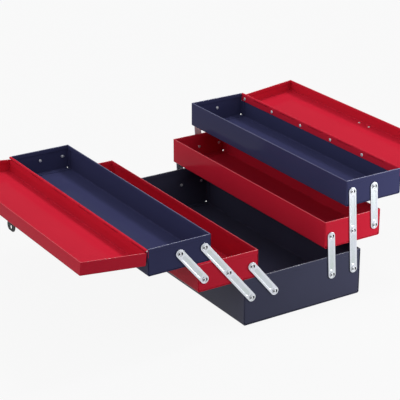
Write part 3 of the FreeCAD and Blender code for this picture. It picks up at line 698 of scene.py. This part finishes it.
def handle_parts(side, lid_body, handle_body, lid_place, free):
    """Brackets on the lid, the strap bent to a U between them, and its ribbed grip."""
    pivot = lid_place @ Matrix.Translation((HANDLE_INSET - free, 0, LID_TOP + HANDLE_RISE))
    face = HANDLE_WIDTH / 2 + BRACKET_GAP
    middle = face + BRACKET_SHEET / 2
    floor, bend = -HANDLE_RISE + BRACKET_SHEET / 2, BRACKET_BEND + BRACKET_SHEET / 2
    cells = []
    for sign in (-1, 1):
        path = bent_path([(sign * (face + BRACKET_FOOT), floor), (sign * middle, floor, bend),
                          (sign * middle, BRACKET_HEAD)])
        cells += strip(along_x(path, -BRACKET_WIDTH / 2), along_x(path, BRACKET_WIDTH / 2))
    brackets = folded_sheet(f"handle_bracket_pair_{side}", cells, BRACKET_SHEET, pivot, BLACK)
    hold(brackets, lid_body, "black_enamel", f"handle_brackets_{side}")
    aside, row = BRACKET_RIVET_SPREAD / 2, face + BRACKET_FOOT - BRACKET_RIVET_INSET
    seats = [pivot @ Matrix.Translation((x, sign * row, -HANDLE_RISE + BRACKET_SHEET))
             for x in (-aside, aside) for sign in (-1, 1)]
    hold(turned(f"bracket_rivets_{side}", dome(*BRACKET_RIVET_HEAD), seats, ZINC), lid_body, "zinc_plate")
    fold = math.asin((GRIP_HEIGHT / 2 - HANDLE_RISE + GRIP_SEAT_GAP) / (HANDLE_ARM - STRAP_SHEET / 2))
    lying = pivot @ Matrix.Rotation(-fold, 4, "Y")
    run, arm = HANDLE_ARM - STRAP_SHEET / 2, HANDLE_WIDTH / 2 - STRAP_SHEET / 2
    strap_bend = HANDLE_BEND - STRAP_SHEET / 2
    path = bent_path([(-STRAP_TAIL, -arm), (run, -arm, strap_bend), (run, arm, strap_bend),
                      (-STRAP_TAIL, arm)])
    cells = strip(along_z(path, -STRAP_WIDTH / 2), along_z(path, STRAP_WIDTH / 2))
    strap = folded_sheet(f"handle_strap_{side}", cells, STRAP_SHEET, lying, BLACK)
    hold(strap, handle_body, "black_enamel", f"handle_bail_{side}")
    reach = BRACKET_GAP + BRACKET_SHEET + HANDLE_PIN_REACH
    pins = [lying @ Matrix.Rotation(math.radians(turn), 4, "X") @ Matrix.Translation(
        (0, 0, HANDLE_WIDTH / 2)) for turn in (90, -90)]
    profile = [(0, -STRAP_SHEET - HANDLE_PIN_HEAD_HEIGHT),
               (HANDLE_PIN_HEAD, -STRAP_SHEET - HANDLE_PIN_HEAD_EDGE), (HANDLE_PIN_HEAD, -STRAP_SHEET),
               (HANDLE_PIN, -STRAP_SHEET), (HANDLE_PIN, reach - HANDLE_PIN_CHAMFER),
               (HANDLE_PIN - HANDLE_PIN_CHAMFER, reach), (0, reach)]
    pin_pair = turned(f"handle_pins_{side}", profile, pins, ZINC, segments=20, bevel=HANDLE_PIN_BEVEL)
    hold(pin_pair, handle_body, "zinc_plate")
    grip = grip_sleeve(f"handle_sleeve_{side}", lying @ Matrix.Translation((run, 0, 0)))
    hold(grip, handle_body, "black_plastic", f"handle_grip_{side}")


def grip_sleeve(name, place):
    """A sleeve moulded round the strap, ridged for the fingers and drawn in at both ends."""
    deep, high = GRIP_DEPTH / 2, GRIP_HEIGHT / 2
    outline = rounded_loop([(-deep, -high, GRIP_ROUND), (deep, -high, GRIP_ROUND), (deep, high, GRIP_ROUND),
                            (-deep, high, GRIP_ROUND)], steps=5)
    bm = bmesh.new()
    rings = []
    steps = GRIP_RIDGES * RIDGE_STEPS
    for step in range(steps + 1):
        share = step / steps
        y = (share - 0.5) * GRIP_LENGTH
        from_end = min(share, 1 - share) * GRIP_LENGTH
        ridge = 0.5 - 0.5 * math.cos(2 * math.pi * share * GRIP_RIDGES)
        shrink = 1 - RIDGE_SHARE * ridge if from_end > GRIP_PLAIN_END else 1
        size = shrink - GRIP_END_SHARE * max(0, 1 - from_end / GRIP_ROUND_END) ** 2
        rings.append([bm.verts.new((p.x * size, y, p.y * size)) for p in outline])
    for ring, following in zip(rings, rings[1:]):
        wall_between(bm, ring, following)
    bm.faces.new(rings[0])
    bm.faces.new(rings[-1])
    return finish_mesh(name, bm, place, GRIP_PLASTIC, bevel=0, crease=GRIP_CREASE)


# The box

trough("base_tub", "base_trough", "base", BASE_SHEET, BASE_NAVY, "blue_enamel", rim_highlight_material=BASE_RIM_HIGHLIGHT)
base_width = node_place("base_trough")[1]
end_walls("base_end_walls", "base_ends", "base", BASE_SHEET, BASE_NAVY, "blue_enamel", base_width,
          rim_highlight_material=BASE_RIM_HIGHLIGHT)

for side, out in SIDES:
    swing, lower = PIVOTS[f"side_swing_{side}"], PIVOTS[f"lower_link_swing_{side}"]
    middle, top = PIVOTS[f"middle_tray_swing_{side}"], PIVOTS[f"top_tray_swing_{side}"]
    inner = PIVOTS[f"upper_link_swing_{side}"]
    spacing = abs(swing.x - lower.x)
    bodies = {kind: f"{kind}_{side}" for kind in ("middle_tray", "top_tray", "long_links", "lower_links",
                                                  "upper_links", "lid", "handle")}
    tray_width = node_place(f"middle_tray_trough_{side}")[1]
    top_height = node_place(f"top_tray_trough_{side}")[2]

    trough(f"middle_tray_tub_{side}", f"middle_tray_trough_{side}", bodies["middle_tray"], TRAY_SHEET, RED,
           "red_enamel", out, rim_highlight_material=RED_RIM_HIGHLIGHT)
    end_walls(f"middle_tray_end_walls_{side}", f"middle_tray_ends_{side}", bodies["middle_tray"], TRAY_SHEET,
              RED, "red_enamel", tray_width, out, rim_highlight_material=RED_RIM_HIGHLIGHT)
    # The top tray's hinge wall ends at the leaf, and its end walls make room for it
    trough(f"top_tray_tub_{side}", f"top_tray_trough_{side}", bodies["top_tray"], TRAY_SHEET, NAVY,
           "blue_enamel", out, rim=top_height - AXIS_DEPTH - RIM_RISE, rim_highlight_material=NAVY_RIM_HIGHLIGHT)
    end_walls(f"top_tray_end_walls_{side}", f"top_tray_ends_{side}", bodies["top_tray"], TRAY_SHEET, NAVY,
              "blue_enamel", tray_width, out, leaf_foot=top_height - AXIS_DEPTH - LEAF_HEIGHT - HINGE_GAP,
              rim_highlight_material=NAVY_RIM_HIGHLIGHT)

    link_pair(f"lower_link_strips_{side}", f"lower_links_{side}", bodies["lower_links"], lower,
              lower + middle - swing, gaps=1)
    link_pair(f"long_link_strips_{side}", f"long_links_{side}", bodies["long_links"], swing,
              swing + 2 * (middle - swing), gaps=2)
    link_pair(f"upper_link_strips_{side}", f"upper_links_{side}", bodies["upper_links"], inner,
              inner + middle - swing, gaps=1)
    # The lower link's pivots lie one step inwards of the long link's, and the upper link's one step outwards
    step = Vector((out * spacing, 0, 0))
    rows = {
        "base": ("base", [swing, lower], BASE_SHEET),
        "middle_tray": (bodies["middle_tray"], [middle - step, middle, middle + step], TRAY_SHEET),
        "top_tray": (bodies["top_tray"], [top, top + step], TRAY_SHEET),
    }
    for row, (body, pivots, thickness) in rows.items():
        pivot_rivets(f"{row}_pivots_{side}", f"{row}_rivets_{side}", body, [(p.x, p.z) for p in pivots],
                     thickness)

    pin = PIVOTS[f"lid_hinge_{side}"]
    tray_hinge, lid_hinge = at(pin.x, pin.z, out), at(pin.x, pin.z, out, tilt=180 - LID_RAISE)
    hinge_leaf(f"tray_leaf_{side}", f"hinge_leaf_tray_{side}", bodies["top_tray"], tray_hinge, up=-1,
               length=BOX_LENGTH, first=0)
    hinge_leaf(f"lid_leaf_{side}", f"hinge_leaf_lid_{side}", bodies["lid"], lid_hinge, up=1,
               length=BOX_LENGTH - 2 * (LID_EDGE_RADIUS + HINGE_GAP), first=1)
    # The hinge pin keeps its own mesh
    frame["nodes"][f"hinge_pin_{side}"].data.materials.clear()
    frame["nodes"][f"hinge_pin_{side}"].data.materials.append(STEEL)
    spread = (BOX_LENGTH - 2 * LEAF_RIVET_INSET) / (LEAF_RIVETS - 1)
    seats = [tray_hinge @ Matrix.Translation(
        (-KNUCKLE_RADIUS, -END_FACE + LEAF_RIVET_INSET + i * spread, -LEAF_RIVET_DEPTH))
        @ Matrix.Rotation(-math.pi / 2, 4, "Y") for i in range(LEAF_RIVETS)]
    leaf_rivets = turned(f"leaf_rivets_{side}", dome(*LEAF_RIVET_HEAD), seats, RIVET_ZINC)
    hold(leaf_rivets, bodies["top_tray"], "zinc_plate")

    lid_width = tray_width + CENTRE_GAP - LID_SETBACK
    lid_pan(f"lid_shell_{side}", f"lid_pan_{side}", bodies["lid"], lid_hinge, lid_width)
    padlock_ear(side, bodies["lid"], lid_hinge, lid_width + AXIS_OUT)
    handle_parts(side, bodies["lid"], bodies["handle"], lid_hinge, lid_width + AXIS_OUT)


# Floor, light and camera

# The floor lies a little below the base, so that the two don't share a plane
FLOOR_REACH, FLOOR_DROP = 12000.0, 0.5
# How white the floor and the backdrop show, where 1 is white
FLOOR_WHITE, BACKDROP_WHITE = 0.92, 0.94
# How brightly the studio's walls and ceiling shine
WALL_LIGHT, CEILING_LIGHT = 0.16, 0.5
# Heights where the ceiling and the backdrop start and end, from 0 when level to 1 overhead
CEILING_START, CEILING_FULL = 0.3, 0.95
BACKDROP_FULL, BACKDROP_END = 0.14, 0.24

# The camera, fitted to the box's corners in the photograph
CAMERA_SPOT = (-1191.9, -1811.4, 987.6)
CAMERA_AZIMUTH, CAMERA_ELEVATION = -32.34, 22.23
FOCAL_PIXELS, IMAGE_PIXELS, SENSOR = 1480.2, 400, 36.0
NEAREST, FARTHEST = 50.0, 60000.0


def white_seen(tree):
    """1 where the eye, a mirror image or glass meets the surface, and 0 where it only lights the box."""
    path = add_node(tree, "ShaderNodeLightPath").outputs
    mirrored = add_node(tree, "ShaderNodeMath", {"operation": "MAXIMUM"},
                        {0: path["Is Glossy Ray"], 1: path["Is Transmission Ray"]})
    seen = add_node(tree, "ShaderNodeMath", {"operation": "MAXIMUM"},
                    {0: path["Is Camera Ray"], 1: mirrored.outputs[0]})
    return seen.outputs[0]


def pale_floor():
    """A matt pale floor that runs well past the view and shows nearly white, with a faint shadow."""
    bm = bmesh.new()
    bmesh.ops.create_grid(bm, x_segments=1, y_segments=1, size=FLOOR_REACH)
    material, tree = new_material("matt_white_floor")
    spot = add_node(tree, "ShaderNodeTexCoord").outputs["Object"]
    # The coat's tone drifts over about 600 mm
    cloud = add_node(tree, "ShaderNodeTexNoise", links={"Vector": spot}, Scale=per_metre(600), Detail=2)
    tone = add_node(tree, "ShaderNodeMix", {"data_type": "RGBA"}, {"Factor": cloud.outputs["Fac"]},
                    A=linear("#8C8C8E"), B=linear("#909092"))
    shader = add_node(tree, "ShaderNodeBsdfPrincipled", links={"Base Color": tone.outputs["Result"]},
                      Roughness=0.9, Specular_IOR_Level=0.1)
    glow = add_node(tree, "ShaderNodeEmission")
    share = add_node(tree, "ShaderNodeMath", {"operation": "MULTIPLY"}, {0: white_seen(tree)})
    share.inputs[1].default_value = FLOOR_WHITE
    mix = add_node(tree, "ShaderNodeMixShader",
                   links={"Fac": share.outputs[0], 1: shader.outputs[0], 2: glow.outputs[0]})
    shader_to_output(tree, mix)
    floor = finish_mesh("floor", bm, Matrix.Translation((0, 0, -FLOOR_DROP)), material, bevel=0)


def soft_light(name, spot, target, width, height, watts):
    """A softbox at a spot, turned to a target, both in millimetres."""
    light = bpy.data.lights.new(name, "AREA")
    light.shape = "RECTANGLE"
    light.size, light.size_y = width * MM, height * MM
    light.energy = watts
    lamp = bpy.data.objects.new(name, light)
    lamp.visible_camera = False
    lamp.location = Vector(spot) * MM
    lamp.rotation_euler = (Vector(target) - Vector(spot)).to_track_quat("-Z", "Y").to_euler()
    bpy.context.scene.collection.objects.link(lamp)


def surroundings():
    """A studio with dim walls and a pale ceiling; low down, a white backdrop is seen but gives no light."""
    world = bpy.data.worlds.new("studio")
    bpy.context.scene.world = world
    world.use_nodes = True
    tree = world.node_tree
    way = add_node(tree, "ShaderNodeTexCoord").outputs["Generated"]
    height = add_node(tree, "ShaderNodeSeparateXYZ", links={"Vector": way}).outputs["Z"]
    ramp = add_node(tree, "ShaderNodeMapRange", {"interpolation_type": "SMOOTHSTEP"}, {"Value": height},
                    From_Min=CEILING_START, From_Max=CEILING_FULL, To_Min=WALL_LIGHT, To_Max=CEILING_LIGHT)
    low_down = add_node(tree, "ShaderNodeMapRange", {"interpolation_type": "SMOOTHSTEP"}, {"Value": height},
                        From_Min=BACKDROP_FULL, From_Max=BACKDROP_END, To_Min=1, To_Max=0)
    backdrop = add_node(tree, "ShaderNodeMath", {"operation": "MULTIPLY"},
                        {0: low_down.outputs["Result"], 1: white_seen(tree)})
    strength = add_node(tree, "ShaderNodeMix",
                        links={"Factor": backdrop.outputs[0], "A": ramp.outputs["Result"]}, B=BACKDROP_WHITE)
    tree.links.new(strength.outputs["Result"], tree.nodes["Background"].inputs["Strength"])
    tree.nodes["Background"].inputs["Color"].default_value = linear("#FFFFFF")


def high_lamp(name, towards, spread, strength):
    """A far, wide lamp; towards is the way its light runs, and spread its width in degrees."""
    light = bpy.data.lights.new(name, "SUN")
    light.angle = math.radians(spread)
    light.energy = strength
    lamp = bpy.data.objects.new(name, light)
    lamp.rotation_euler = Vector(towards).to_track_quat("-Z", "Y").to_euler()
    bpy.context.scene.collection.objects.link(lamp)


def photo_camera():
    """The photograph's view."""
    lens = bpy.data.cameras.new("camera")
    lens.sensor_width = SENSOR
    lens.lens = FOCAL_PIXELS / IMAGE_PIXELS * SENSOR
    lens.clip_start, lens.clip_end = NEAREST * MM, FARTHEST * MM
    camera = bpy.data.objects.new("camera", lens)
    camera.location = Vector(CAMERA_SPOT) * MM
    camera.rotation_euler = (math.radians(90 - CAMERA_ELEVATION), 0, math.radians(CAMERA_AZIMUTH))
    bpy.context.scene.collection.objects.link(camera)
    bpy.context.scene.camera = camera


pale_floor()
surroundings()
high_lamp("key", (-0.495, -0.08, -0.865), spread=12, strength=1.24)
high_lamp("overhead", (0, 0, -1), spread=80, strength=0.45)
high_lamp("left_fill", (0.9, -0.15, -0.3), spread=50, strength=1.05)
high_lamp("front_fill", (0.05, 0.7, -0.7), spread=70, strength=0.48)
soft_light("front_right", (400, -520, 210), (200, -219, 110), width=220, height=220, watts=1.6)
photo_camera()
bpy.context.scene.view_settings.view_transform = "Standard"
